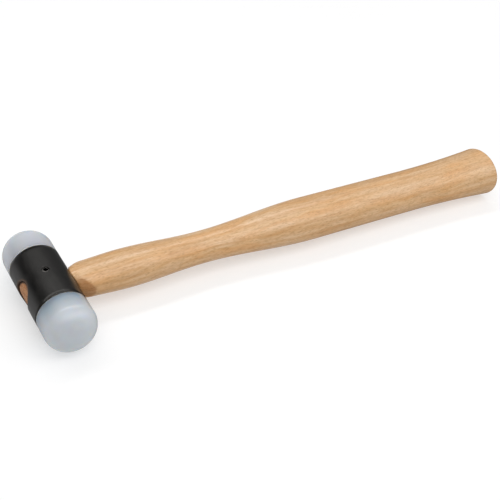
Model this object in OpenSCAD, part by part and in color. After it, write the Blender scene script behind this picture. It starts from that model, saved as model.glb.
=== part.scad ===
// Soft face hammer: a steel head tube with two plug-in nylon faces,
// on an oval wooden handle whose round tenon is locked by a spring pin.
// It lies on its side. X runs along the handle towards the butt,
// Y runs along the head and Z is up. All sizes are in millimetres.

/* [Head tube] */
// Outside diameter of the tube and of both faces
head_d = 22; // [20:0.5:28]
// Length of the tube
tube_l = 32; // [28:0.5:44]
// Wall of the tube
tube_wall = 2.5; // [1.5:0.25:3]
// Chamfer on the outer rim of each end
rim_chamfer = 0.3; // [0.2:0.1:1]
// Chamfer inside the mouth of the bore
mouth_chamfer = 0.5; // [0.2:0.1:1]
// Diameter of the eye that the handle goes through
eye_d = 11.5; // [9:0.5:13]

/* [Nylon faces] */
// Length of a face outside the tube, to the top of its crown
face_l = 16; // [13:0.5:24]
// Radius of the rounded edge round a face
face_edge_r = 8; // [4:0.5:9]
// Radius of the crowned striking surface
face_crown_r = 28; // [20:1:60]
// Rounding of the corner that meets the tube
face_seat_r = 0.5; // [0.2:0.1:1]
// Chamfer that leads the spigot into the bore
spigot_lead = 1.2; // [0.5:0.1:2]
// Width and depth of the relief groove behind the seat
spigot_relief = 0.8; // [0.4:0.1:1.2]

/* [Handle, distances along it] */
// Length over all, from the side of the tube to the flat end of the butt
hammer_l = 252.2; // [230:0.1:320]
// From the shoulder at the tube to the fullest part of the neck
neck_run = 23; // [12:1:30]
// From the neck to the narrowest part of the waist
waist_run = 36; // [20:1:45]
// From the waist to the start of the even grip
swell_run = 58; // [30:1:65]
// From the end of the even grip to the flat end of the butt
flare_run = 55; // [30:1:65]

/* [Handle, widths along Y and thicknesses along Z] */
// Width at the shoulder
root_w = 18; // [16:0.2:26]
// Thickness at the shoulder
root_t = 13.2; // [12:0.2:22]
// Width of the neck
neck_w = 19.1; // [16:0.1:28]
// Thickness of the neck
neck_t = 15.7; // [13:0.1:24]
// Width of the waist
waist_w = 16; // [12:0.1:24]
// Thickness of the waist
waist_t = 13.4; // [11:0.1:20]
// Width of the grip
grip_w = 23; // [18:0.1:32]
// Thickness of the grip
grip_t = 19.2; // [16:0.1:28]
// Width of the butt
butt_w = 27.6; // [20:0.1:36]
// Thickness of the butt
butt_t = 23; // [18:0.1:32]
// Rounding of the rim of the butt
butt_edge_r = 2; // [0.5:0.25:4]

/* [Handle, shoulder and tenon] */
// Diameter of the shoulder beside the tube, which is hollowed to fit it
shoulder_d = 13.4; // [12.6:0.2:20]
// Angle of the cone that runs from the shoulder into the oval neck
shoulder_angle = 21; // [8:1:40]
// How far the end of the tenon lies below the surface of the tube
tenon_recess = 0.7; // [0.1:0.1:1]

/* [Lock pin] */
// Outside diameter of the slotted spring pin
pin_d = 3; // [1.5:0.5:4]
// Wall of the spring pin
pin_wall = 0.6; // [0.4:0.1:0.7]
// Width of the slot along the spring pin
pin_slot = 0.6; // [0.3:0.1:1]
// Chamfer at both ends of the spring pin
pin_chamfer = 0.3; // [0.1:0.1:0.5]
// How far the ends of the pin lie below the surface of the tube
pin_recess = 0.3; // [0.3:0.1:1]
// Place of the pin along the handle, from the middle of the head
pin_x = -0.8; // [-2:0.1:2]

/* [Clearances] */
// Radial clearance of a spigot in the bore
spigot_fit = 0.05; // [0.01:0.01:0.1]
// Gap between the seat of a face and the rim of the tube
seat_gap = 0.1; // [0.05:0.05:0.3]
// Gap between the end of a spigot and the tenon
spigot_gap = 0.8; // [0.4:0.1:2]
// Radial clearance of the tenon in the eye
eye_fit = 0.03; // [0.01:0.01:0.1]
// Gap between the shoulder and the side of the tube
shoulder_gap = 0.2; // [0.1:0.1:0.5]
// Radial clearance of the pin in its holes
pin_fit = 0.02; // [0.01:0.01:0.1]

/* [Hidden] */
$fn = 96;

// Rings round the handle and points on each ring
RING_SIDES = 44;
RING_STEP = 5.5;
RIM_STEPS = 5;
// Overlap of cutting tools past the surfaces that they cut
over = 1;

head_r = head_d / 2;
bore_r = head_r - tube_wall;
eye_r = eye_d / 2;
tenon_r = eye_r - eye_fit;
spigot_r = bore_r - spigot_fit;
spigot_l = tube_l / 2 - tenon_r - spigot_gap;
pin_r = pin_d / 2;
pin_hole_r = pin_r + pin_fit;
// The tube's surface is a little lower beside its middle line
pin_half_l = sqrt(head_r * head_r - pin_x * pin_x) - pin_recess;

// Places along the handle, measured from the middle of the head.
// The even grip, from grip_x to palm_x, takes up what is left of the length.
shoulder_r = shoulder_d / 2;
shoulder_x = head_r + shoulder_gap;
// The shaft starts inside the hollow of the shoulder
root_x = sqrt(shoulder_x * shoulder_x - shoulder_r * shoulder_r) - over;
neck_x = shoulder_x + neck_run;
waist_x = neck_x + waist_run;
grip_x = waist_x + swell_run;
butt_x = hammer_l - head_r;
palm_x = butt_x - flare_run;
rim_x = butt_x - butt_edge_r;

// The origin lies under the middle of the whole hammer
head_x = (head_r - butt_x) / 2;
axis_z = max(head_d, neck_t, grip_t, butt_t) / 2;

// Place along the handle, width and thickness of the oval there
STATIONS = [
    [shoulder_x, root_w, root_t],
    [neck_x, neck_w, neck_t],
    [waist_x, waist_w, waist_t],
    [grip_x, grip_w, grip_t],
    [palm_x, grip_w, grip_t],
    [rim_x, butt_w, butt_t],
];
LAST = len(STATIONS) - 2;

// The stretch of the handle that holds the place x
function stretch(x, i = 0) = i >= LAST || x < STATIONS[i + 1][0] ? i : stretch(x, i + 1);

// Smooth waves along the handle, and a flare that grows towards the butt
function ease(i, t) = i == LAST ? t * t : (1 - cos(180 * t)) / 2;

// Width and thickness of the oval at the place x
function oval(x) =
    let (
        i = stretch(x),
        a = STATIONS[i],
        b = STATIONS[i + 1],
        k = ease(i, (x - a[0]) / (b[0] - a[0]))
    )
    [a[1] + (b[1] - a[1]) * k, a[2] + (b[2] - a[2]) * k];

// One ring of points round the handle, drawn in by a margin at its rim
function ring(x, margin = 0) =
    let (size = oval(max(shoulder_x, min(x, rim_x))))
    [for (s = [0:RING_SIDES - 1])
        let (a = 360 * s / RING_SIDES)
        [x, (size[0] / 2 - margin) * cos(a), (size[1] / 2 - margin) * sin(a)]];

// Everything is drawn about the middle of the head, then set in place
module place() {
    translate([head_x, 0, axis_z]) children();
}

// A profile of radius and height, turned about Y
module turned_y() {
    rotate([-90, 0, 0]) rotate_extrude() children();
}

// A profile of radius and height, turned about X
module turned_x() {
    rotate([0, 90, 0]) rotate_extrude() children();
}

module eye_cut() {
    rotate([0, 90, 0]) cylinder(r = eye_r, h = head_d + 2 * over, center = true);
}

module pin_cut() {
    translate([pin_x, 0, 0]) cylinder(r = pin_hole_r, h = head_d + 2 * over, center = true);
}

module head_tube() {
    half_l = tube_l / 2;
    color([0.10, 0.10, 0.10])
    place()
    difference() {
        turned_y()
        polygon([
            [bore_r + mouth_chamfer, -half_l],
            [head_r - rim_chamfer, -half_l],
            [head_r, -half_l + rim_chamfer],
            [head_r, half_l - rim_chamfer],
            [head_r - rim_chamfer, half_l],
            [bore_r + mouth_chamfer, half_l],
            [bore_r, half_l - mouth_chamfer],
            [bore_r, -half_l + mouth_chamfer],
        ]);
        eye_cut();
        pin_cut();
    }
}

// Half outline of a face: height 0 is its seat, and the spigot goes below it
module face_profile() {
    corner_r = head_r - face_edge_r;
    crown_y = face_l - face_crown_r;
    // The edge arc runs into the crown without a crease
    corner_y = crown_y + sqrt(pow(face_crown_r - face_edge_r, 2) - corner_r * corner_r);
    crown_edge = corner_r * face_crown_r / (face_crown_r - face_edge_r);
    intersection() {
        translate([0, -spigot_l]) square([head_r, spigot_l + face_l]);
        union() {
            // Straight side with its corner rounded at the seat
            translate([0, face_seat_r]) square([head_r, corner_y - face_seat_r]);
            square([head_r - face_seat_r, face_seat_r]);
            translate([head_r - face_seat_r, face_seat_r]) circle(r = face_seat_r);
            // Rounded edge, and the crown inside it
            translate([corner_r, corner_y]) circle(r = face_edge_r);
            intersection() {
                translate([0, crown_y]) circle(r = face_crown_r);
                square([crown_edge, face_l]);
            }
            // Spigot with a relief groove and a lead-in
            polygon([
                [0, 0],
                [spigot_r - spigot_relief, 0],
                [spigot_r - spigot_relief, -spigot_relief],
                [spigot_r, -2 * spigot_relief],
                [spigot_r, spigot_lead - spigot_l],
                [spigot_r - spigot_lead / 2, -spigot_l],
                [0, -spigot_l],
            ]);
        }
    }
}

// One face, with side 1 towards +Y and side -1 towards -Y
module nylon_face(side) {
    color([0.84, 0.87, 0.90])
    place()
    rotate([0, 0, side > 0 ? 0 : 180])
    translate([0, tube_l / 2 + seat_gap, 0])
    turned_y() face_profile();
}

module front_face() {
    nylon_face(-1);
}

module rear_face() {
    nylon_face(1);
}

// The oval shaft, lofted through its rings from the shoulder to the butt
module shaft() {
    steps = ceil((rim_x - root_x) / RING_STEP);
    rings = concat(
        [for (i = [0:steps]) ring(root_x + (rim_x - root_x) * i / steps)],
        [for (i = [1:RIM_STEPS])
            let (a = 90 * i / RIM_STEPS)
            ring(rim_x + butt_edge_r * sin(a), butt_edge_r * (1 - cos(a)))]
    );
    count = len(rings);
    points = [for (r = rings) each r];
    sides = [for (r = [0:count - 2], s = [0:RING_SIDES - 1])
        let (
            n = (s + 1) % RING_SIDES,
            a = r * RING_SIDES + s,
            b = r * RING_SIDES + n,
            c = a + RING_SIDES,
            d = b + RING_SIDES
        )
        each [[a, d, b], [a, c, d]]];
    front = [for (s = [0:RING_SIDES - 1]) s];
    back = [for (s = [1:RING_SIDES]) count * RING_SIDES - s];
    polyhedron(points, concat(sides, [front, back]));
}

// A turned envelope: the cone cuts scallops into the wide sides of the oval
module shoulder_envelope() {
    wide_r = max(root_w, neck_w, waist_w, grip_w, butt_w);
    cone_l = (wide_r - shoulder_r) / tan(shoulder_angle);
    root_r = shoulder_r - (shoulder_x - root_x) * tan(shoulder_angle);
    turned_x()
    polygon([
        [0, root_x],
        [root_r, root_x],
        [wide_r, shoulder_x + cone_l],
        [wide_r, butt_x + over],
        [0, butt_x + over],
    ]);
}

// The hollow in which the shoulder fits the round of the tube
module saddle_cut() {
    rotate([90, 0, 0]) cylinder(r = shoulder_x, h = tube_l, center = true);
}

// The round tenon, with its end shaped to the round of the tube
module tenon() {
    intersection() {
        rotate([0, 90, 0])
        translate([0, 0, -head_r])
        cylinder(r = tenon_r, h = head_r + shoulder_x + over);
        union() {
            rotate([90, 0, 0]) cylinder(r = head_r - tenon_recess, h = head_d, center = true);
            translate([0, -head_r, -head_r]) cube([head_d, head_d, head_d]);
        }
    }
}

module handle() {
    color([0.82, 0.66, 0.47])
    place()
    difference() {
        union() {
            difference() {
                intersection() {
                    shaft();
                    shoulder_envelope();
                }
                saddle_cut();
            }
            tenon();
        }
        pin_cut();
    }
}

// A rolled pin that springs open in its hole
module lock_pin() {
    color([0.45, 0.45, 0.46])
    place()
    translate([pin_x, 0, 0])
    difference() {
        rotate_extrude()
        polygon([
            [pin_r - pin_wall, -pin_half_l],
            [pin_r - pin_chamfer, -pin_half_l],
            [pin_r, pin_chamfer - pin_half_l],
            [pin_r, pin_half_l - pin_chamfer],
            [pin_r - pin_chamfer, pin_half_l],
            [pin_r - pin_wall, pin_half_l],
        ]);
        translate([0, -pin_slot / 2, -pin_half_l - over])
        cube([pin_d, pin_slot, 2 * (pin_half_l + over)]);
    }
}

head_tube();
front_face();
rear_face();
handle();
lock_pin();
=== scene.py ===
# %% [markdown]
# # A soft face hammer, dressed for its portrait
# The solids of the hammer are packed already: a black steel tube, two milky nylon faces that
# plug into it, an oval beech handle and a slotted spring pin. They fix every size and place, and
# this lesson puts a finer surface and a finish on each of them. The frame is in metres: X runs
# along the handle towards the butt, Y along the head, and Z is up from the table.

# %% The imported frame
import math

import bmesh
import bpy
import numpy as np
from mathutils import Matrix, Vector


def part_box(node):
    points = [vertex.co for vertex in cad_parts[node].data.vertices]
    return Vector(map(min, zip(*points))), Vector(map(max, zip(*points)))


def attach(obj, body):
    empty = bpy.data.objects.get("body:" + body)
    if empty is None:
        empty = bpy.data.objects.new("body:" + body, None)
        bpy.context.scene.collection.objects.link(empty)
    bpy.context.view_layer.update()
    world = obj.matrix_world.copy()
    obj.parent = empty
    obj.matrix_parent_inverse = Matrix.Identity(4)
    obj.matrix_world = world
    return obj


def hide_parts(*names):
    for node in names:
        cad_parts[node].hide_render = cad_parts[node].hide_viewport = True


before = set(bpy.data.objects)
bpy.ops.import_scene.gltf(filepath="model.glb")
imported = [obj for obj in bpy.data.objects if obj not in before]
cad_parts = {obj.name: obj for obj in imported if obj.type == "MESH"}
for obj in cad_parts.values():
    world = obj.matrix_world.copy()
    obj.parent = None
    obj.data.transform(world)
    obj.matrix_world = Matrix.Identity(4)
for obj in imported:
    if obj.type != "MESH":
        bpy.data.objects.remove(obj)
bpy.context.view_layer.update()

MM = 0.001

# %% [markdown]
# ## Places that the solids give
# Nothing is measured twice. The box round the tube gives the middle of the head, the radius of
# the tube and its length, and the boxes of the other solids give the ends of the handle, the
# faces and the pin. Only what a box can't tell, such as a rounding, is written down as a size.

# %% Head, faces and handle, read from their boxes
def node_box(name):
    """Lowest and highest corner of one solid, as two rows of an array."""
    return np.array([list(corner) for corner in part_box(name)])


tube_box = node_box("head_tube")
HEAD = tube_box.mean(axis=0)
HEAD_R, TUBE_HALF = (tube_box[1] - tube_box[0])[:2] / 2
BUTT_X = node_box("handle")[1, 0] - HEAD[0]
FACE_TOP = node_box("rear_face")[1, 1]
SPIGOT_END = node_box("rear_face")[0, 1]
TENON_END_R = HEAD[0] - node_box("handle")[0, 0]
pin_box = node_box("lock_pin")
PIN_R, PIN_HALF = (pin_box[1] - pin_box[0])[1:] / 2
PIN_X = pin_box[0, 0] + PIN_R - HEAD[0]
print("head at", np.round(HEAD / MM, 2), "mm, tube", round(2 * HEAD_R / MM, 2), "mm across")

# %% [markdown]
# ## The camera
# The photograph was taken from in front of the near face, to the left and from above, with the
# camera rolled a little. A camera is easiest to read as a place, a point that it looks at and a
# roll about that line. The lens is written the way a photographer names it, for a 36 mm sensor.

# %% Place, aim, roll and lens
CAMERA_PLACE = Vector((-0.2010, -0.2572, 0.2516))
CAMERA_AIM = Vector((-0.0247, -0.0105, 0.0115))
CAMERA_ROLL = math.radians(8.02)
LENS_MM = 61.85

camera_data = bpy.data.cameras.new("camera")
camera_data.lens = LENS_MM
camera_data.sensor_width = 36
camera_data.clip_start = 0.01
camera = bpy.data.objects.new("camera", camera_data)
bpy.context.collection.objects.link(camera)
gaze = (CAMERA_AIM - CAMERA_PLACE).to_track_quat("-Z", "Y").to_matrix()
turned = gaze @ Matrix.Rotation(CAMERA_ROLL, 3, "Z")
camera.matrix_world = Matrix.Translation(CAMERA_PLACE) @ turned.to_4x4()
bpy.context.scene.camera = camera
print("camera", round((CAMERA_AIM - CAMERA_PLACE).length, 3), "m from what it looks at")

# %% [markdown]
# ## From a grid of points to a mesh
# Every surface here is a grid: a function of two parameters, worked out as one array. Two small
# helpers turn such grids into a mesh. The first lists the corners of the faces between
# neighbouring points. The second joins several grids into one piece, welds the points that fall
# on each other, which closes seams and poles, and makes the piece ride on its body.

# %% Faces of a grid
def grid_faces(rows, columns, wrap):
    """Four corners for each cell: a point, the next one along its row, and the two above them.
    With wrap, the last column is followed by the first."""
    across = columns if wrap else columns - 1
    row, column = np.mgrid[0:rows - 1, 0:across]
    beside = (column + 1) % columns
    corners = [row * columns + column, row * columns + beside,
               (row + 1) * columns + beside, (row + 1) * columns + column]
    return np.stack(corners, axis=-1).reshape(-1, 4)


# %% One piece from several grids
WELD = 0.0002 * MM


def make_piece(name, grids, body, node):
    """Builds one mesh object. A grid is (points, wrap, marks): points is rows x columns x 3, and
    marks gives each point a number per name, which materials can read as an attribute."""
    points = np.concatenate([grid[0].reshape(-1, 3) for grid in grids])
    starts = np.cumsum([0] + [grid[0].shape[0] * grid[0].shape[1] for grid in grids])
    faces = np.concatenate([
        grid_faces(*grid[0].shape[:2], grid[1]) + start for grid, start in zip(grids, starts)])
    mesh = bpy.data.meshes.new(name)
    mesh.from_pydata(points, [], faces)
    for mark in grids[0][2]:
        values = np.concatenate([
            np.broadcast_to(grid[2][mark], grid[0].shape[:2]).ravel() for grid in grids])
        layer = mesh.attributes.new(mark, "FLOAT", "POINT")
        layer.data.foreach_set("value", values.astype(np.float32))
    shape = bmesh.new()
    shape.from_mesh(mesh)
    bmesh.ops.remove_doubles(shape, verts=shape.verts, dist=WELD)
    bmesh.ops.recalc_face_normals(shape, faces=shape.faces)
    shape.to_mesh(mesh)
    shape.free()
    mesh.polygons.foreach_set("use_smooth", np.ones(len(mesh.polygons), bool))
    piece = bpy.data.objects.new(name, mesh)
    bpy.context.collection.objects.link(piece)
    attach(piece, body)
    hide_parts(node)
    print(name, len(mesh.vertices), "points", len(mesh.polygons), "faces")
    return piece


# %% Soft corners on a profile
CORNER_SHARE = 0.45
CORNER_STEPS = 5


def eased(profile, reach):
    """Rounds the inner corners of a profile: each corner becomes a curve that leaves the line
    before it and joins the line after it, a reach away, as a quadratic Bezier does. On a short
    line the reach is limited to a share of its length."""
    profile = np.asarray(profile, float)
    before, corner, after = profile[:-2], profile[1:-1], profile[2:]
    back, ahead = before - corner, after - corner
    length_back = np.linalg.norm(back, axis=1, keepdims=True)
    length_ahead = np.linalg.norm(ahead, axis=1, keepdims=True)
    near = np.minimum(reach, CORNER_SHARE * np.minimum(length_back, length_ahead))
    start = corner + back / length_back * near
    end = corner + ahead / length_ahead * near
    t = np.linspace(0, 1, CORNER_STEPS)[None, :, None]
    curve = ((1 - t) ** 2 * start[:, None] + 2 * t * (1 - t) * corner[:, None]
             + t ** 2 * end[:, None])
    return np.concatenate([profile[:1], curve.reshape(-1, 2), profile[-1:]])


# %% [markdown]
# ## The beech handle
# The real handle is turned on a copying lathe: ovals that swell and narrow along the axis. The
# end at the head is then turned round, so a cone bites scallops into the wide sides, its
# shoulder is hollowed to fit the tube, and a round tenon goes through the eye. One sheet of
# points can be all of it: its rows go from the middle of the tenon's end, over the shoulder and
# the shaft, to the middle of the butt. A modelled cage could make it too, but the formula keeps
# it true to the solid.

# %% Ovals along the handle
NECK_RUN, WAIST_RUN, SWELL_RUN, FLARE_RUN = 23 * MM, 36 * MM, 58 * MM, 55 * MM
SHOULDER_GAP = 0.2 * MM
BUTT_EDGE_R = 2 * MM
SHOULDER_X = HEAD_R + SHOULDER_GAP
RIM_X = BUTT_X - BUTT_EDGE_R
STATION_X = np.array([SHOULDER_X, SHOULDER_X + NECK_RUN, SHOULDER_X + NECK_RUN + WAIST_RUN,
                      SHOULDER_X + NECK_RUN + WAIST_RUN + SWELL_RUN, BUTT_X - FLARE_RUN, RIM_X])
STATION_WIDTH = np.array([18.0, 19.1, 16.0, 23.0, 23.0, 27.6]) * MM
STATION_THICK = np.array([13.2, 15.7, 13.4, 19.2, 19.2, 23.0]) * MM


def oval_half(x, sizes):
    """Half the width or thickness at the places x: between two stations it eases from one size
    to the next like half a cosine wave, and the last stretch flares with the square."""
    stretch = np.clip(np.searchsorted(STATION_X, x, side="right") - 1, 0, len(STATION_X) - 2)
    start, end = STATION_X[stretch], STATION_X[stretch + 1]
    t = np.clip((x - start) / (end - start), 0, 1)
    share = np.where(stretch == len(STATION_X) - 2, t ** 2, (1 - np.cos(np.pi * t)) / 2)
    return (sizes[stretch] + (sizes[stretch + 1] - sizes[stretch]) * share) / 2


def oval_radius(angle, half_width, half_thick):
    """Distance from the axis to an ellipse, in the direction of the angle."""
    return 1 / np.hypot(np.cos(angle) / half_width, np.sin(angle) / half_thick)


# %% Shaft with its conical scallops
SHOULDER_R = 6.7 * MM
SHOULDER_SLOPE = math.tan(math.radians(21))
SCALLOP_SOFTNESS = 0.16 * MM
STEEPEST = 30
GRAZE_START, GRAZE_RUN = 0.40, 0.35
HANDLE_COLUMNS = 224
around = np.linspace(0, 2 * np.pi, HANDLE_COLUMNS, endpoint=False)[None, :]


def shaft_rows(x):
    """Radius of the shaft for rows at x: the smaller of the oval and the cone, where a soft
    minimum rounds the edge between them a little. The second array says how much is cone, and
    fades out above and below, where the cone only grazes the oval."""
    oval = oval_radius(around, oval_half(x, STATION_WIDTH), oval_half(x, STATION_THICK))
    cone = SHOULDER_R + (x - SHOULDER_X) * SHOULDER_SLOPE
    depth = np.clip((oval - cone) / SCALLOP_SOFTNESS, -STEEPEST, STEEPEST)
    radius = oval - SCALLOP_SOFTNESS * np.logaddexp(0, depth)
    sideways = np.clip((np.abs(np.cos(around)) - GRAZE_START) / GRAZE_RUN, 0, 1)
    return radius, sideways ** 2 / (1 + np.exp(-depth))


def cone_foot():
    """Where the cone ends in the hollow round the tube. Its radius is base + slope * x, and the
    squares of x and of the height above the axis make the square of the hollow's radius, so x
    is the larger root of a quadratic."""
    base = SHOULDER_R - SHOULDER_SLOPE * SHOULDER_X
    upward = np.sin(around) ** 2
    square = 1 + SHOULDER_SLOPE ** 2 * upward
    half = base * SHOULDER_SLOPE * upward
    rest = base ** 2 * upward - SHOULDER_X ** 2
    return (np.sqrt(half ** 2 - square * rest) - half) / square


# %% Rows of the shaft, closer together at the scallops
NECK_END = SHOULDER_X + 38 * MM
CLOSE_ROWS, FAR_ROWS = 110, 165
foot_x = cone_foot()
close_x = foot_x + (NECK_END - foot_x) * np.linspace(0, 1, CLOSE_ROWS)[:, None]
far_x = np.linspace(NECK_END, RIM_X, FAR_ROWS)[1:, None] + 0 * around
shaft_x = np.concatenate([close_x, far_x])
shaft_r, shaft_cut = shaft_rows(shaft_x)
print("shaft", shaft_r.shape, "widest", round(shaft_r.max() * 2 / MM, 2), "mm")

# %% Tenon, shoulder and butt
TENON_R = 5.72 * MM
TENON_BREAK = 0.50 * MM
END_ROWS, BREAK_ROWS, SIDE_ROWS = 16, 6, 8
RIM_ROWS, FLAT_ROWS = 10, 14


def tenon_rows():
    """From the middle of the tenon's end to the shoulder: the end follows the round of the tube,
    its edge is broken by a small quarter turn, and the side runs straight to the hollow."""
    spread = np.linspace(0, 1, END_ROWS)[:, None]
    turn = np.linspace(0, np.pi / 2, BREAK_ROWS)[1:, None]
    end_r = (TENON_R - TENON_BREAK) * spread
    edge_r = TENON_R - TENON_BREAK * (1 - np.sin(turn))
    radius = np.concatenate([end_r, edge_r])
    sunk = np.concatenate([0 * end_r, TENON_BREAK * (1 - np.cos(turn))])
    x = sunk - np.sqrt(TENON_END_R ** 2 - (radius * np.sin(around)) ** 2)
    side = np.linspace(0, 1, SIDE_ROWS)[1:, None]
    hollow_x = np.sqrt(SHOULDER_X ** 2 - (TENON_R * np.sin(around)) ** 2)
    side_x = x[-1:] + (hollow_x - x[-1:]) * side
    radius = np.concatenate([radius + 0 * around, TENON_R + 0 * side_x])
    return np.concatenate([x, side_x]), radius


def butt_rows():
    """From the rim of the shaft to the middle of the butt: a quarter turn draws the oval in, and
    the flat end shrinks to one point."""
    turn = np.linspace(0, np.pi / 2, RIM_ROWS)[1:, None]
    drawn = BUTT_EDGE_R * (1 - np.cos(turn))
    half_width = oval_half(np.array([RIM_X]), STATION_WIDTH) - drawn
    half_thick = oval_half(np.array([RIM_X]), STATION_THICK) - drawn
    rim_r = oval_radius(around, half_width, half_thick)
    rim_x = RIM_X + BUTT_EDGE_R * np.sin(turn) + 0 * around
    shrink = np.linspace(1, 0, FLAT_ROWS)[1:, None]
    flat_x = BUTT_X + 0 * shrink * around
    return np.concatenate([rim_x, flat_x]), np.concatenate([rim_r, rim_r[-1:] * shrink])


tenon_x, tenon_r = tenon_rows()
butt_x, butt_r = butt_rows()
print("tenon", tenon_r.shape, "butt", butt_r.shape)

# %% Marks that tell the finish what was cut, what is end grain and where the eye ring is dark
EYE_RING_WIDTH = 1.4 * MM
END_SHARE = 0.1
cut_mark = np.concatenate([0 * tenon_r, shaft_cut, 0 * butt_r])
end_mark = np.concatenate([
    np.where(tenon_r < TENON_R - END_SHARE * TENON_BREAK, 1.0, 0.0), 0 * shaft_r,
    np.clip((butt_x - RIM_X) / BUTT_EDGE_R, 0, 1) ** 2])
edge_ring = np.clip((tenon_r - TENON_R) / EYE_RING_WIDTH + 1, 0, 1)
eye_ring_mark = np.concatenate([
    np.where(tenon_x < -TENON_R, edge_ring, 0), 0 * shaft_r, 0 * butt_r])
handle_marks = {"cut": cut_mark, "end_grain": end_mark, "eye_ring": eye_ring_mark}
print("marks:", {name: round(float(values.mean()), 3) for name, values in handle_marks.items()})

# %% The handle as one sheet
handle_x = np.concatenate([tenon_x, shaft_x, butt_x])
handle_r = np.concatenate([tenon_r, shaft_r, butt_r])
handle_points = HEAD + np.stack(
    [handle_x, handle_r * np.cos(around), handle_r * np.sin(around)], axis=-1)
handle_piece = make_piece(
    "beech_handle", [(handle_points, True, handle_marks)], "hammer", "handle")

# %% [markdown]
# ## The steel tube
# The head is a piece of tube with two large holes for the tenon and two small ones for the pin.
# A boolean could drill them, but leaves long thin faces that shade badly on a round wall. So
# the tube is drawn as it would be unrolled: four panels, each a rectangle with one round hole in
# its middle. Every panel is a grid whose rows are rings, which go from the rectangle inside the
# bore to the hole, through the wall, and out to the same rectangle on the outside.

# %% The rectangle round a panel
TUBE_WALL = 2.5 * MM
BORE_R = HEAD_R - TUBE_WALL
RIM_CHAMFER = 0.3 * MM
PANEL_HALF = np.pi / 4
SIDE_STEPS = 28
edge = np.linspace(-1, 1, SIDE_STEPS + 1)[:-1]
one = np.ones(SIDE_STEPS)
border_turn = np.concatenate([edge, one, -edge, -one]) * PANEL_HALF
border_y = np.concatenate([-one, edge, one, -edge]) * (TUBE_HALF - RIM_CHAMFER)
ray = np.arctan2(border_turn * HEAD_R, border_y)[None, :]
print("one panel has", border_turn.size, "points round its border")

# %% Rings of a panel
EYE_FIT, PIN_FIT = 0.03 * MM, 0.02 * MM
EYE_R = TENON_R + EYE_FIT
PIN_HOLE_R = PIN_R + PIN_FIT
EYE_BREAK, PIN_HOLE_BREAK = 0.70 * MM, 0.10 * MM
EYE_RING_REACH = 0.5 * MM
ARC_STEPS, WALL_STEPS, AWAY_STEPS = 9, 5, 13
AWAY_POWER = 1.5


def panel(middle, hole_r, hole_break, shift, at_eye):
    """One quarter of the tube. A ring has a radius about the hole and a radius about the head:
    the sine of the ray gives the distance beside the hole's axis, the cosine the place along the
    head, and the height above the axis follows from the round of the tube. Between the hole
    and the border, turn and place along the head go from one to the other, in steps that grow.
    The rim mark is high on the broken edge of a pin hole, where lacquer wears off. The eye ring
    mark is high round an eye, where the skin turns brown."""
    arc = np.linspace(0, np.pi / 2, ARC_STEPS)[:, None]
    opening = hole_r + hole_break * (1 - np.sin(arc))
    sunk = hole_break * (1 - np.cos(arc))
    wall = np.linspace(0, 1, WALL_STEPS)[1:-1, None]
    wall_r = BORE_R + hole_break + (HEAD_R - BORE_R - 2 * hole_break) * wall
    ring_r = np.concatenate([opening, hole_r + 0 * wall, opening[::-1]])
    tube_r = np.concatenate([BORE_R + sunk, wall_r, HEAD_R - sunk[::-1]])
    ring_turn = np.arcsin((shift + ring_r * np.sin(ray)) / tube_r)
    ring_y = ring_r * np.cos(ray)
    away = np.linspace(0, 1, AWAY_STEPS)[1:, None] ** AWAY_POWER

    def spread(ring):
        return (ring_turn[ring] + (border_turn - ring_turn[ring]) * away,
                ring_y[ring] + (border_y - ring_y[ring]) * away)

    in_turn, in_y = spread(0)
    out_turn, out_y = spread(-1)
    turn = middle + np.concatenate([in_turn[::-1], ring_turn, out_turn])
    y = np.concatenate([in_y[::-1], ring_y, out_y])
    radius = np.concatenate([BORE_R + 0 * away, tube_r, HEAD_R + 0 * away])
    points = HEAD + np.stack([-radius * np.cos(turn), y, radius * np.sin(turn)], axis=-1)
    edge_rows = np.concatenate([0 * away, 0 * opening, 0 * wall, np.sin(2 * arc), 0 * away])
    beside_hole = np.hypot(out_y, HEAD_R * np.sin(out_turn)) - hole_r - hole_break
    in_eye_ring = np.concatenate([0 * away, 0 * opening, 1 + 0 * wall, 1 + 0 * arc])
    eye_ring_rows = np.concatenate([in_eye_ring + 0 * ray, np.clip(1 - beside_hole / EYE_RING_REACH, 0, 1)])
    marks = {"rim": edge_rows * (1 - at_eye), "eye_ring": eye_ring_rows * at_eye}
    return points, True, marks


panels = [panel(0, EYE_R, EYE_BREAK, 0, 1),
          panel(np.pi / 2, PIN_HOLE_R, PIN_HOLE_BREAK, PIN_X, 0),
          panel(np.pi, EYE_R, EYE_BREAK, 0, 1),
          panel(3 * np.pi / 2, PIN_HOLE_R, PIN_HOLE_BREAK, -PIN_X, 0)]
print(len(panels), "panels of", panels[0][0].shape[:2], "points")

# %% Chamfered ends of the tube
MOUTH_CHAMFER = 0.5 * MM
RIM_EASE = 0.15 * MM
WEAR_PLACE, WEAR_WIDTH = 0.35 * RIM_CHAMFER, 0.5 * RIM_CHAMFER
end_turn = np.linspace(0, 2 * np.pi, 4 * SIDE_STEPS, endpoint=False) - PANEL_HALF


def tube_end(side):
    """Turns the profile of the rim, from the outside to the bore, about the head: radius and
    place along the head, with corners eased by a few points each. The rim mark is a bell curve
    over the outer corner, where the lacquer wears off first."""
    profile = eased([
        (HEAD_R, TUBE_HALF - RIM_CHAMFER),
        (HEAD_R - RIM_CHAMFER, TUBE_HALF),
        (BORE_R + MOUTH_CHAMFER, TUBE_HALF),
        (BORE_R, TUBE_HALF - MOUTH_CHAMFER),
    ], RIM_EASE)
    radius, y = profile[:, :1], side * profile[:, 1:] + 0 * end_turn
    points = HEAD + np.stack([-radius * np.cos(end_turn), y, radius * np.sin(end_turn)], axis=-1)
    worn = np.exp(-((radius - HEAD_R + WEAR_PLACE) / WEAR_WIDTH) ** 2)
    return points, True, {"rim": worn, "eye_ring": 0 * worn}


tube_piece = make_piece(
    "steel_tube", panels + [tube_end(1), tube_end(-1)], "hammer", "head_tube")

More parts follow.
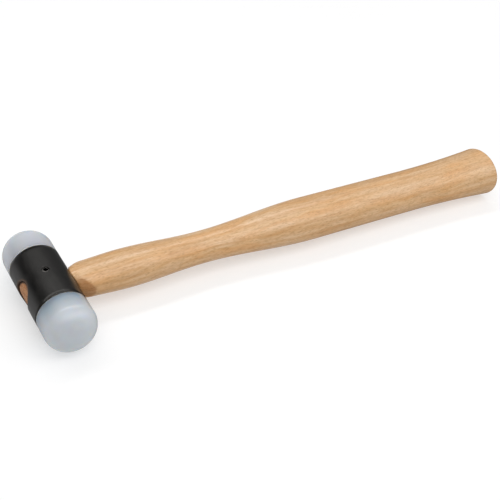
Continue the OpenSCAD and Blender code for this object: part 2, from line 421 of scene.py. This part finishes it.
# %% [markdown]
# ## The nylon faces
# Each face is one turned shape: a spigot that plugs into the tube, a seat against its rim, a
# straight collar and a crowned striking surface with a wide rounded edge. Turned shapes are the
# simplest grids of all: a profile of radius and height, carried round the axis.

# %% Profile of a face
SEAT_GAP, SPIGOT_FIT = 0.1 * MM, 0.05 * MM
FACE_L = FACE_TOP - TUBE_HALF - SEAT_GAP
FACE_EDGE_R = 8 * MM
FACE_CROWN_R = 28 * MM
SPIGOT_R = BORE_R - SPIGOT_FIT
RELIEF = 0.8 * MM
LEAD = 1.2 * MM
CORNER_REACH = 0.25 * MM
EDGE_STEPS, CROWN_STEPS = 40, 16


def face_profile():
    """Radius and height above the seat, from the end of the spigot to the top of the crown. The
    edge is an arc that leaves the straight side and runs into the crown, a larger sphere,
    without a crease: the line through both centres is where they meet."""
    seat_height = FACE_TOP - FACE_L
    spigot_low = SPIGOT_END - seat_height
    corner_r = HEAD_R - FACE_EDGE_R
    corner_h = FACE_L - FACE_CROWN_R + math.sqrt((FACE_CROWN_R - FACE_EDGE_R) ** 2 - corner_r ** 2)
    meet = math.acos(corner_r / (FACE_CROWN_R - FACE_EDGE_R))
    inside = eased([
        (0, spigot_low), (SPIGOT_R - LEAD / 2, spigot_low), (SPIGOT_R, spigot_low + LEAD),
        (SPIGOT_R, -2 * RELIEF), (SPIGOT_R - RELIEF, -RELIEF), (SPIGOT_R - RELIEF, 0),
        (HEAD_R, 0), (HEAD_R, corner_h)], CORNER_REACH)
    edge_turn = np.linspace(0, meet, EDGE_STEPS)[1:]
    edge_arc = np.stack([corner_r + FACE_EDGE_R * np.cos(edge_turn),
                         corner_h + FACE_EDGE_R * np.sin(edge_turn)], axis=1)
    crown_turn = np.linspace(meet, np.pi / 2, CROWN_STEPS)[1:]
    crown = np.stack([FACE_CROWN_R * np.cos(crown_turn),
                      FACE_L - FACE_CROWN_R + FACE_CROWN_R * np.sin(crown_turn)], axis=1)
    return np.concatenate([inside, edge_arc, crown])


# %% Both faces
FACE_COLUMNS = 144
COLLAR_SHADE_DEPTH = 12.5 * MM


def nylon_face(side):
    """Carries the profile round the head's axis, towards +Y for side 1 and -Y for side -1. The
    collar mark places painted shade next to the tube: it is 1 up to the seat and eases to 0 towards
    the crown."""
    profile = face_profile()
    turn = np.linspace(0, 2 * np.pi, FACE_COLUMNS, endpoint=False)
    radius = np.maximum(profile[:, :1], 0)
    y = side * (FACE_TOP - FACE_L + profile[:, 1:]) + 0 * turn
    points = HEAD + np.stack([radius * np.cos(turn), y, radius * np.sin(turn)], axis=-1)
    # Where the collar mark is high, the finish paints shade next to the tube.
    fade = np.clip(1 - profile[:, 1:] / COLLAR_SHADE_DEPTH, 0, 1)
    return points, True, {"collar": fade ** 2 * (3 - 2 * fade)}


front_piece = make_piece(
    "nylon_face_front", [nylon_face(-1)], "front_plug", "front_face")
rear_piece = make_piece(
    "nylon_face_rear", [nylon_face(1)], "rear_plug", "rear_face")

# %% [markdown]
# ## The spring pin
# The pin that locks the tenon is rolled from a strip of spring steel, so its section is a C. The
# outline of the C is carried along the pin, and its outer side is drawn in at both ends, which
# gives the chamfers. Two short grids between the outer and the inner arc close the ends.

# %% Section and length of the pin
PIN_WALL, PIN_SLOT, PIN_CHAMFER = 0.6 * MM, 0.6 * MM, 0.3 * MM
PIN_STEPS = 40
PIN_SHARP = math.radians(30)


def spring_pin():
    """Rows go along Z. In a row the points run round the outer arc from one lip of the slot to
    the other, and back along the inner arc. The bore mark is 0 on the outer arc and 1 on the
    inner one."""
    z = np.array([-1, -1, 1, 1]) * PIN_HALF + np.array([0, 1, -1, 0]) * PIN_CHAMFER
    drawn = np.array([1, 0, 0, 1]) * PIN_CHAMFER
    outer_r = (PIN_R - drawn)[:, None]
    inner_r = PIN_R - PIN_WALL + 0 * outer_r
    sweep = np.linspace(0, 1, PIN_STEPS)
    outer_lip = np.arcsin(PIN_SLOT / 2 / outer_r)
    inner_lip = np.arcsin(PIN_SLOT / 2 / inner_r)
    outer_turn = outer_lip + (2 * np.pi - 2 * outer_lip) * sweep
    inner_turn = inner_lip + (2 * np.pi - 2 * inner_lip) * sweep

    def on_arc(radius, turn):
        return HEAD + np.stack(
            [PIN_X + radius * np.cos(turn), radius * np.sin(turn), z[:, None] + 0 * turn], axis=-1)

    outer, inner = on_arc(outer_r, outer_turn), on_arc(inner_r, inner_turn)
    sides = np.concatenate([outer, inner[:, ::-1]], axis=1)
    low_end = np.stack([outer[0], inner[0]])
    high_end = np.stack([outer[-1], inner[-1]])
    side_marks = {"bore": np.repeat([0.0, 1.0], sweep.size)}
    end_marks = {"bore": np.array([[0.0], [1.0]])}
    return [(sides, True, side_marks), (low_end, False, end_marks), (high_end, False, end_marks)]


pin_piece = make_piece("spring_pin", spring_pin(), "hammer", "lock_pin")
pin_piece.data.set_sharp_from_angle(angle=PIN_SHARP)

# %% [markdown]
# ## Small tools for finishes
# A finish is a tree of nodes. Written out in full, each node takes four or five lines, so these
# helpers add one node each and give back its output. All patterns read Object coordinates,
# which are the frame's own metres here, because every piece sits at the origin, or the marks
# that the pieces carry on their points.

# %% Nodes in one line each
def connect(tree, value, socket):
    """Links an output to a socket, or writes a plain value into it."""
    if isinstance(value, bpy.types.NodeSocket):
        tree.links.new(value, socket)
    else:
        socket.default_value = value


def new_finish(name):
    """A material with an empty tree, its Principled shader and the tree."""
    material = bpy.data.materials.new(name)
    material.use_nodes = True
    tree = material.node_tree
    return material, tree, tree.nodes["Principled BSDF"]


def mapped(tree, vector, scale=(1, 1, 1), turn=(0, 0, 0), shift=(0, 0, 0)):
    """A vector, scaled, turned and shifted by a Mapping node."""
    mapping = tree.nodes.new("ShaderNodeMapping")
    mapping.inputs["Scale"].default_value = scale
    mapping.inputs["Rotation"].default_value = turn
    mapping.inputs["Location"].default_value = shift
    tree.links.new(vector, mapping.inputs["Vector"])
    return mapping.outputs["Vector"]


def places(tree, scale=(1, 1, 1)):
    """Object coordinates, scaled: with a scale of 1000, one unit is a millimetre."""
    coordinates = tree.nodes.new("ShaderNodeTexCoord")
    return mapped(tree, coordinates.outputs["Object"], scale)


def noise(tree, vector, detail=3.0, roughness=0.5):
    """A cloudy value about 0.5, whose grain is one unit of the vector."""
    node = tree.nodes.new("ShaderNodeTexNoise")
    node.inputs["Scale"].default_value = 1
    node.inputs["Detail"].default_value = detail
    node.inputs["Roughness"].default_value = roughness
    tree.links.new(vector, node.inputs["Vector"])
    return node.outputs["Fac"]


def span(tree, value, low, high, to_low=0.0, to_high=1.0):
    """Maps the stretch from low to high onto another one, smoothly and with clamped ends."""
    node = tree.nodes.new("ShaderNodeMapRange")
    node.interpolation_type = "SMOOTHSTEP"
    connect(tree, value, node.inputs["Value"])
    node.inputs["From Min"].default_value = low
    node.inputs["From Max"].default_value = high
    node.inputs["To Min"].default_value = to_low
    node.inputs["To Max"].default_value = to_high
    return node.outputs["Result"]


def calc(tree, operation, first, second=0.0):
    """One step of arithmetic."""
    node = tree.nodes.new("ShaderNodeMath")
    node.operation = operation
    connect(tree, first, node.inputs[0])
    connect(tree, second, node.inputs[1])
    return node.outputs["Value"]


COLOUR_A, COLOUR_B, COLOUR_RESULT = 6, 7, 2


def blend(tree, share, first, second, mode="MIX"):
    """Mixes two colours by a share. A Mix node has sockets for three kinds of value, and those
    for colours come last."""
    node = tree.nodes.new("ShaderNodeMix")
    node.data_type = "RGBA"
    node.blend_type = mode
    connect(tree, share, node.inputs[0])
    connect(tree, first, node.inputs[COLOUR_A])
    connect(tree, second, node.inputs[COLOUR_B])
    return node.outputs[COLOUR_RESULT]


def mark(tree, name):
    """A number that a piece carries on its points."""
    node = tree.nodes.new("ShaderNodeAttribute")
    node.attribute_name = name
    return node.outputs["Fac"]


def relief(tree, shader, height, distance, strength):
    """Lets a height tilt the shading, with distance as the depth of the relief in metres."""
    node = tree.nodes.new("ShaderNodeBump")
    node.inputs["Strength"].default_value = strength
    node.inputs["Distance"].default_value = distance
    connect(tree, height, node.inputs["Height"])
    tree.links.new(node.outputs["Normal"], shader.inputs["Normal"])


def linear(red, green, blue):
    """A colour as a screen gives it, from 0 to 255, as the linear light that shaders work in."""
    screen = np.array([red, green, blue]) / 255
    light = np.where(screen <= 0.04045, screen / 12.92, ((screen + 0.055) / 1.055) ** 2.4)
    return (*light.tolist(), 1.0)


def dress(piece, material):
    """Gives a piece its finish."""
    piece.data.materials.append(material)
    print(piece.name, "wears", material.name, "with", len(material.node_tree.nodes), "nodes")


# %% [markdown]
# ## Beech
# Beech is pale straw to pink, with faint growth rings, long soft streaks, and the short brown
# dashes that its rays leave on the surface. A wood block is a solid pattern: rings are cylinders
# about the heart of the tree, which lies beside the handle, and rays point to that heart. Cut by
# the handle's surface, one pattern gives streaks on the side, and rings and rays on the two ends.
# A picture wrapped round the handle could show the same, but it would stretch where the handle
# flares. Scallops and end grain soak up the clear coat, so they are darker and duller.

# %% Fibres that sway
SWAY = 6 * MM


def swayed_places(tree):
    """Object coordinates whose Y and Z are pushed sideways by a slow noise along the handle, so
    that everything drawn on them is as wavy as real fibres."""
    sway = tree.nodes.new("ShaderNodeTexNoise")
    sway.inputs["Scale"].default_value = 1
    sway.inputs["Detail"].default_value = 2
    tree.links.new(places(tree, (22, 60, 60)), sway.inputs["Vector"])
    push = tree.nodes.new("ShaderNodeVectorMath")
    push.operation = "MULTIPLY_ADD"
    tree.links.new(sway.outputs["Color"], push.inputs[0])
    push.inputs[1].default_value = (0, SWAY, SWAY)
    tree.links.new(places(tree), push.inputs[2])
    return push.outputs["Vector"]


# %% Growth rings, dashes and rays
HEART = np.array([0.0, -0.022, -0.048])
RING_GAP = 2.6 * MM
RING_LEAN = (0, math.radians(1.6), math.radians(-1.2))
WAVE_CYCLE = 2 * math.pi / 20


def growth_rings(tree, from_heart):
    """A saw wave over the distance from the heart: it climbs from early to late wood and drops
    at the next ring. At a scale of 1, a Wave node repeats every 2 pi / 20 units."""
    rings = tree.nodes.new("ShaderNodeTexWave")
    rings.wave_type = "RINGS"
    rings.rings_direction = "X"
    rings.wave_profile = "SAW"
    rings.inputs["Scale"].default_value = WAVE_CYCLE / RING_GAP
    tree.links.new(from_heart, rings.inputs["Vector"])
    return span(tree, rings.outputs["Fac"], 0.15, 1.0)


def ray_dashes(tree, swayed):
    """Short dashes along the fibres: the middles of Voronoi cells that are long in X."""
    cells = tree.nodes.new("ShaderNodeTexVoronoi")
    cells.inputs["Scale"].default_value = 1
    tree.links.new(mapped(tree, swayed, (430, 1700, 1700)), cells.inputs["Vector"])
    return span(tree, cells.outputs["Distance"], 0.42, 0.12)


def ray_lines(tree, from_heart):
    """A noise over the angle about the heart and the height above it, whose spots are long
    along the radius and thin across it, as rays are on end grain."""
    apart = tree.nodes.new("ShaderNodeSeparateXYZ")
    tree.links.new(from_heart, apart.inputs["Vector"])
    fan = tree.nodes.new("ShaderNodeCombineXYZ")
    angle = calc(tree, "ARCTAN2", apart.outputs["Y"], apart.outputs["Z"])
    connect(tree, calc(tree, "MULTIPLY", angle, 150), fan.inputs["X"])
    connect(tree, calc(tree, "MULTIPLY", apart.outputs["Z"], 350), fan.inputs["Y"])
    return noise(tree, fan.outputs["Vector"], 2.0)


# %% Colours along the side
STRAW, HONEY = linear(229, 190, 144), linear(207, 160, 109)
PINK, CREAM = linear(224, 172, 116), linear(224, 190, 152)
AMBER, DASH_BROWN = linear(204, 146, 86), linear(166, 114, 56)
DARK_THREAD, PALE_THREAD = linear(186, 138, 82), linear(240, 212, 170)


def side_colour(tree, swayed, ring, thread, dash):
    """Streaks from straw to honey, then patches of pink and cream, late wood in amber, dark and
    pale threads, and brown dashes."""
    streak = noise(tree, mapped(tree, swayed, (24, 600, 600)), 3.0, 0.6)
    tint = noise(tree, mapped(tree, swayed, (36, 240, 240), shift=(3, 7, 1)), 2.0)
    colour = blend(tree, span(tree, streak, 0.32, 0.68), STRAW, HONEY)
    colour = blend(tree, span(tree, tint, 0.48, 0.68, 0, 0.75), colour, PINK)
    colour = blend(tree, span(tree, tint, 0.52, 0.34, 0, 0.5), colour, CREAM)
    colour = blend(tree, calc(tree, "MULTIPLY", ring, 0.22), colour, AMBER)
    colour = blend(tree, span(tree, thread, 0.46, 0.72, 0, 0.42), colour, DARK_THREAD)
    colour = blend(tree, span(tree, thread, 0.46, 0.26, 0, 0.28), colour, PALE_THREAD)
    return blend(tree, calc(tree, "MULTIPLY", dash, 0.38), colour, DASH_BROWN)


# %% Colours of scallops and ends
CUT_TINT, END_TINT = linear(206, 168, 128), linear(210, 172, 140)
PALE_PORE, LATE_WOOD = linear(214, 176, 134), linear(158, 104, 66)
RAY_BROWN, EYE_RING_DARK = linear(132, 92, 62), linear(38, 28, 22)


def bare_colour(tree, colour, ring, from_heart, cut, ends):
    """Darkens the scallops and the ends, draws pale pores, late wood and rays on the ends, and
    darkens the edge of the tenon to a near-black brown."""
    colour = blend(tree, calc(tree, "MULTIPLY", cut, 0.56), colour, CUT_TINT, "MULTIPLY")
    colour = blend(tree, calc(tree, "MULTIPLY", ends, 0.9), colour, END_TINT, "MULTIPLY")
    pores = noise(tree, places(tree, (1600, 1600, 1600)), 2.0, 0.6)
    pale = calc(tree, "MULTIPLY", span(tree, pores, 0.46, 0.66, 0, 0.5), ends)
    colour = blend(tree, pale, colour, PALE_PORE)
    late = calc(tree, "MULTIPLY", calc(tree, "POWER", ring, 3.0), calc(tree, "MULTIPLY", ends, 0.5))
    colour = blend(tree, late, colour, LATE_WOOD)
    rays = span(tree, ray_lines(tree, from_heart), 0.54, 0.70, 0, 0.5)
    colour = blend(tree, calc(tree, "MULTIPLY", rays, ends), colour, RAY_BROWN)
    eye_ring = span(tree, mark(tree, "eye_ring"), 0.05, 0.75, 0, 0.9)
    return blend(tree, eye_ring, colour, EYE_RING_DARK)


# %% Lacquered beech
COAT, COAT_LOST = 0.45, 0.40


def beech_finish():
    """The colours, with a gloss that follows the threads, a clear coat that the bare wood has
    mostly lost, and a relief of threads and dashes."""
    material, tree, shader = new_finish("lacquered_beech")
    swayed = swayed_places(tree)
    from_heart = mapped(tree, swayed, turn=RING_LEAN, shift=tuple(-HEART))
    ring = growth_rings(tree, from_heart)
    thread = noise(tree, mapped(tree, swayed, (300, 1700, 1700)), 3.0, 0.6)
    dash = ray_dashes(tree, swayed)
    cut = span(tree, mark(tree, "cut"), 0.35, 0.85)
    ends = mark(tree, "end_grain")
    bare = calc(tree, "MAXIMUM", cut, ends)
    colour = side_colour(tree, swayed, ring, thread, dash)
    colour = bare_colour(tree, colour, ring, from_heart, cut, ends)
    connect(tree, colour, shader.inputs["Base Color"])
    dullness = calc(tree, "MULTIPLY", bare, 0.2)
    gloss = calc(tree, "ADD", span(tree, thread, 0.3, 0.7, 0.38, 0.50), dullness)
    connect(tree, gloss, shader.inputs["Roughness"])
    coat = calc(tree, "SUBTRACT", COAT, calc(tree, "MULTIPLY", bare, COAT_LOST))
    connect(tree, coat, shader.inputs["Coat Weight"])
    shader.inputs["Coat Roughness"].default_value = 0.2
    shader.inputs["Specular IOR Level"].default_value = 0.45
    grain = calc(tree, "SUBTRACT", thread, calc(tree, "MULTIPLY", dash, 0.4))
    relief(tree, shader, grain, 0.05 * MM, 0.6)
    return material


dress(handle_piece, beech_finish())

# %% [markdown]
# ## Black lacquer on steel
# The tube is dipped or sprayed black: a smooth satin skin with a slight orange peel. Lacquer is
# thin on edges and chips there first, so a little bare steel shows where the mark of the rim
# and a noise are both high. Metal and lacquer are one shader whose metalness follows that mask,
# which is simpler than a mix of two shaders. Round the eye the skin is brown, as the
# photograph shows it.

# %% Satin black with worn rims
BLACK, SOOT = linear(7, 7, 7), linear(17, 16, 15)
EYE_BROWN, BARE_STEEL = linear(70, 48, 31), linear(150, 148, 145)
LACQUER_TINT = (1.0, 0.97, 0.93, 1)


def black_finish():
    """Two near blacks by a cloud that also moves the gloss, brown round the eye by its mark,
    and bare metal where the rim is worn."""
    material, tree, shader = new_finish("black_lacquer")
    chips = noise(tree, places(tree, (900, 900, 900)), 3.0, 0.6)
    worn = calc(tree, "MULTIPLY", mark(tree, "rim"), span(tree, chips, 0.60, 0.68))
    cloud = noise(tree, places(tree, (400, 160, 400)), 4.0, 0.65)
    skin = blend(tree, span(tree, cloud, 0.3, 0.7), BLACK, SOOT)
    skin = blend(tree, mark(tree, "eye_ring"), skin, EYE_BROWN)
    connect(tree, blend(tree, worn, skin, BARE_STEEL), shader.inputs["Base Color"])
    connect(tree, worn, shader.inputs["Metallic"])
    connect(tree, span(tree, cloud, 0.25, 0.75, 0.28, 0.38), shader.inputs["Roughness"])
    shader.inputs["Specular IOR Level"].default_value = 0.5
    shader.inputs["Specular Tint"].default_value = LACQUER_TINT
    peel = noise(tree, places(tree, (1400, 1400, 1400)), 2.0)
    relief(tree, shader, peel, 0.02 * MM, 0.5)
    return material


dress(tube_piece, black_finish())

# %% [markdown]
# ## Milky nylon
# Light goes a few millimetres into nylon before it comes out again, which is why the faces look
# soft and a little blue. Subsurface scattering does that, and a plain white would look like
# plaster. Next to the tube, where light is lost in the bore, the faces are darker. That shade
# is painted into the colour by the collar mark: bluer on the front face, lighter and greyer on the
# rear one, which catches more light from behind. The skin is smooth from the mould, with a faint
# haze.

# %% Nylon with depth
MILK, CLOUD = linear(188, 197, 206), linear(193, 202, 210)
# Painted shade next to the tube: bluer and darker at the front, lighter and greyer at the rear,
# which catches more light from behind.
FRONT_COLLAR_SHADE, REAR_COLLAR_SHADE = linear(148, 161, 172), linear(182, 184, 192)
DEPTH = 4.5 * MM
DEPTH_BY_COLOUR = (1.35, 1.2, 1.05)


def nylon_finish(name, collar_shade):
    """A cloud of two milky colours and, by the collar mark, a painted shade next to the tube,
    scattering light to a depth that is greatest for red, under a smooth skin."""
    material, tree, shader = new_finish(name)
    cloud = noise(tree, places(tree, (130, 130, 130)), 3.0)
    colour = blend(tree, span(tree, cloud, 0.3, 0.7), MILK, CLOUD)
    # Painted shade: the collar colour darkens the nylon next to the tube.
    colour = blend(tree, mark(tree, "collar"), colour, collar_shade)
    connect(tree, colour, shader.inputs["Base Color"])
    shader.inputs["Subsurface Weight"].default_value = 1.0
    shader.subsurface_method = "RANDOM_WALK_SKIN"
    shader.inputs["Subsurface Anisotropy"].default_value = 0.6
    shader.inputs["Subsurface Radius"].default_value = DEPTH_BY_COLOUR
    shader.inputs["Subsurface Scale"].default_value = DEPTH
    shader.inputs["Specular IOR Level"].default_value = 0.5
    haze = noise(tree, places(tree, (500, 500, 500)), 4.0, 0.6)
    connect(tree, span(tree, haze, 0.3, 0.7, 0.06, 0.10), shader.inputs["Roughness"])
    return material


dress(front_piece, nylon_finish("nylon_front", FRONT_COLLAR_SHADE))
dress(rear_piece, nylon_finish("nylon_rear", REAR_COLLAR_SHADE))

# %% [markdown]
# ## Spring steel
# The pin is tempered steel with a trace of the rolling direction, drawn as fine streaks along
# the pin. Its bore lies in deep shade, where bright metal would still mirror some light, so the
# mark of the bore paints the inside near black as painted shade.

# %% Dark tempered steel
STREAK_DARK, STREAK_PALE = linear(104, 102, 100), linear(160, 157, 153)
# Painted shade for the inside of the bore.
BORE_SHADE = linear(6, 6, 6)


def pin_finish():
    """Metal in two greys by a noise that is long in Z, which also moves the gloss, and a painted
    shade of near black in the bore."""
    material, tree, shader = new_finish("tempered_steel")
    streak = noise(tree, places(tree, (4000, 4000, 300)), 3.0)
    colour = blend(tree, span(tree, streak, 0.3, 0.7), STREAK_DARK, STREAK_PALE)
    # Painted shade: the bore mark takes the inside to near black.
    colour = blend(tree, span(tree, mark(tree, "bore"), 0.2, 0.6), colour, BORE_SHADE)
    connect(tree, colour, shader.inputs["Base Color"])
    shader.inputs["Metallic"].default_value = 1.0
    connect(tree, span(tree, streak, 0.3, 0.7, 0.28, 0.42), shader.inputs["Roughness"])
    relief(tree, shader, streak, 0.01 * MM, 0.5)
    return material


dress(pin_piece, pin_finish())

# %% [markdown]
# ## Table, light and air
# The photograph is a catalogue picture on pure white. So the table is pale, glows a little and
# is wide enough to have no edge in view. A softbox over the front and a fill on the right light
# the hammer. A long strip behind it draws the band of light on the tube and the arc on the near
# face, and a weak card behind it on the right lifts the shadows there.

# %% Pale table
TABLE_HALF = 40.0
TABLE_LOW, TABLE_HIGH = (0.50, 0.50, 0.50, 1), (0.52, 0.52, 0.52, 1)
TABLE_GLOW = 0.50
table_mesh = bpy.data.meshes.new("table")
corners = np.array([[-1, -1, 0], [1, -1, 0], [1, 1, 0], [-1, 1, 0]]) * TABLE_HALF
table_mesh.from_pydata(corners, [], [[0, 1, 2, 3]])
table = bpy.data.objects.new("table", table_mesh)
bpy.context.collection.objects.link(table)
table.visible_glossy = False


def table_finish():
    """A rough pale grey with slow clouds and an even glow."""
    material, tree, shader = new_finish("pale_table")
    cloud = noise(tree, places(tree, (6, 6, 6)), 2.0)
    colour = blend(tree, span(tree, cloud, 0.3, 0.7), TABLE_LOW, TABLE_HIGH)
    connect(tree, colour, shader.inputs["Base Color"])
    shader.inputs["Roughness"].default_value = 0.9
    shader.inputs["Emission Color"].default_value = (1, 1, 1, 1)
    shader.inputs["Emission Strength"].default_value = TABLE_GLOW
    shader.inputs["Specular IOR Level"].default_value = 0.1
    return material


dress(table, table_finish())

# %% Softboxes
def softbox(name, place, aim, width, depth, watts):
    """A rectangular lamp at a place in metres, turned to face an aim, that lights and mirrors but
    isn't seen by the camera."""
    lamp = bpy.data.lights.new(name, "AREA")
    lamp.shape = "RECTANGLE"
    lamp.size, lamp.size_y = width, depth
    lamp.energy = watts
    lamp_object = bpy.data.objects.new(name, lamp)
    bpy.context.collection.objects.link(lamp_object)
    facing = (Vector(aim) - Vector(place)).to_track_quat("-Z", "Y").to_matrix().to_4x4()
    lamp_object.matrix_world = Matrix.Translation(place) @ facing
    lamp_object.visible_camera = False
    print(name, width, "x", depth, "m,", watts, "W")


softbox("softbox_front", (-0.05, -0.40, 0.95), (-0.05, 0, 0), 1.1, 0.65, 4.0)
softbox("fill_right", (0.80, -0.45, 0.75), (0, 0, 0), 0.8, 0.8, 2.5)
softbox("strip_behind", (-0.42, 0.50, 0.86), (-0.42, 0, 0), 2.15, 0.12, 4.1)
softbox("card_right", (0.95, 1.20, 0.75), (0, 0, 0), 1.2, 0.8, 0.5)

# %% [markdown]
# The table is hidden from reflections, so what the tube and the nylon mirror is the air: a ramp
# of greys by height, which does the work of the walls, cards and flags of a studio. Low down it is
# dark on the right and in front, which keeps the handle's side of the tube black. The camera
# itself sees one pale grey, so that the table fades away in the distance.

# %% Bands of air
AIR_STOPS = [(0.00, 0.35), (0.15, 0.40), (0.25, 0.50), (0.36, 0.65), (0.44, 0.65), (0.53, 0.18),
             (0.62, 0.04), (0.74, 0.07), (0.84, 0.70), (0.92, 0.52), (1.00, 0.75)]


def air_bands(tree, height):
    """A ramp of greys over the height of a direction, from -1 straight down to 1 straight up,
    brought to the ramp's own stretch from 0 to 1."""
    shade = tree.nodes.new("ShaderNodeValToRGB")
    shade.color_ramp.elements.remove(shade.color_ramp.elements[1])
    for place, grey in AIR_STOPS:
        stop = shade.color_ramp.elements.new(place)
        stop.color = (grey, grey, grey, 1)
    shade.color_ramp.elements.remove(shade.color_ramp.elements[0])
    level = calc(tree, "MULTIPLY", calc(tree, "ADD", height, 1.0), 0.5)
    tree.links.new(level, shade.inputs["Fac"])
    return shade.outputs["Color"]


# %% Flags, and what the camera sees
FLAG, FAR_AIR = (0.05, 0.05, 0.05, 1), (0.75, 0.75, 0.75, 1)


def studio_air():
    """The bands, dark where a low direction points to the right or to the front, and one pale
    grey for the rays that leave the camera."""
    world = bpy.data.worlds.new("studio_air")
    world.use_nodes = True
    tree = world.node_tree
    direction = tree.nodes.new("ShaderNodeTexCoord")
    apart = tree.nodes.new("ShaderNodeSeparateXYZ")
    tree.links.new(direction.outputs["Generated"], apart.inputs["Vector"])
    low = span(tree, apart.outputs["Z"], 0.10, -0.10)
    right = span(tree, apart.outputs["X"], 0.40, 0.62, 0, 0.9)
    front = span(tree, apart.outputs["Y"], 0.10, -0.30, 0, 0.9)
    flag = calc(tree, "MULTIPLY", low, calc(tree, "MAXIMUM", right, front))
    flagged = blend(tree, flag, air_bands(tree, apart.outputs["Z"]), FLAG)
    light_path = tree.nodes.new("ShaderNodeLightPath")
    seen = blend(tree, light_path.outputs["Is Camera Ray"], flagged, FAR_AIR)
    tree.links.new(seen, tree.nodes["Background"].inputs["Color"])
    tree.nodes["Background"].inputs["Strength"].default_value = 1.0
    return world


bpy.context.scene.world = studio_air()
bpy.context.scene.view_settings.view_transform = "Standard"
print("air of", len(AIR_STOPS), "greys, view", bpy.context.scene.view_settings.view_transform)
